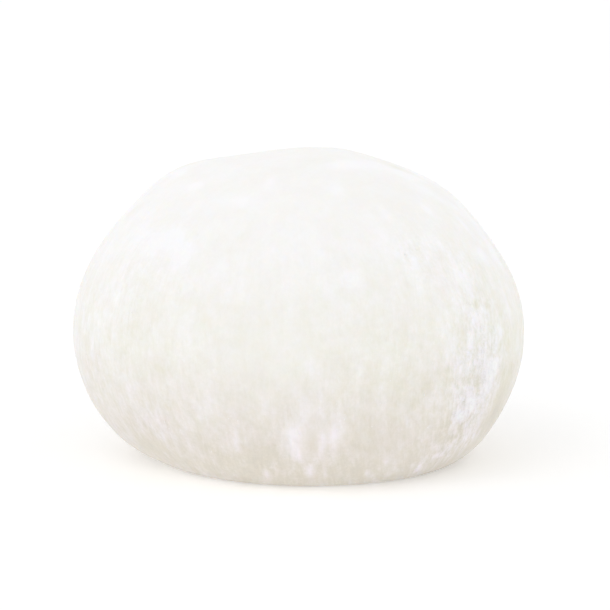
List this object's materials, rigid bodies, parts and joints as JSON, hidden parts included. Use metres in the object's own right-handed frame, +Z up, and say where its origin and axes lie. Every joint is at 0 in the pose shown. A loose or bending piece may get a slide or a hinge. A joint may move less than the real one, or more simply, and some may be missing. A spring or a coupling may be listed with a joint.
{
  "type": "mochi rice cake",
  "caption": "Soft round white rice-dough cake, dusted with starch, resting on a flattened foot with its pinched closing underneath.",
  "frame": {"origin": "on the surface the cake rests on, under the middle of its bounding box", "axes": "+Z up through the crown, +X across the widest side, the raised shoulder on the -X side, the front facing -Y"},
  "size_m": [0.056, 0.0552, 0.0385],
  "materials": {
    "mochi_skin": "soft, slightly translucent cream-white rice dough under a thin matt coat of starch",
    "rice_starch": "dry white powder in small loose clumps"
  },
  "bodies": {
    "root": {"mochi": "mochi_skin"}
  },
  "joints": []
}
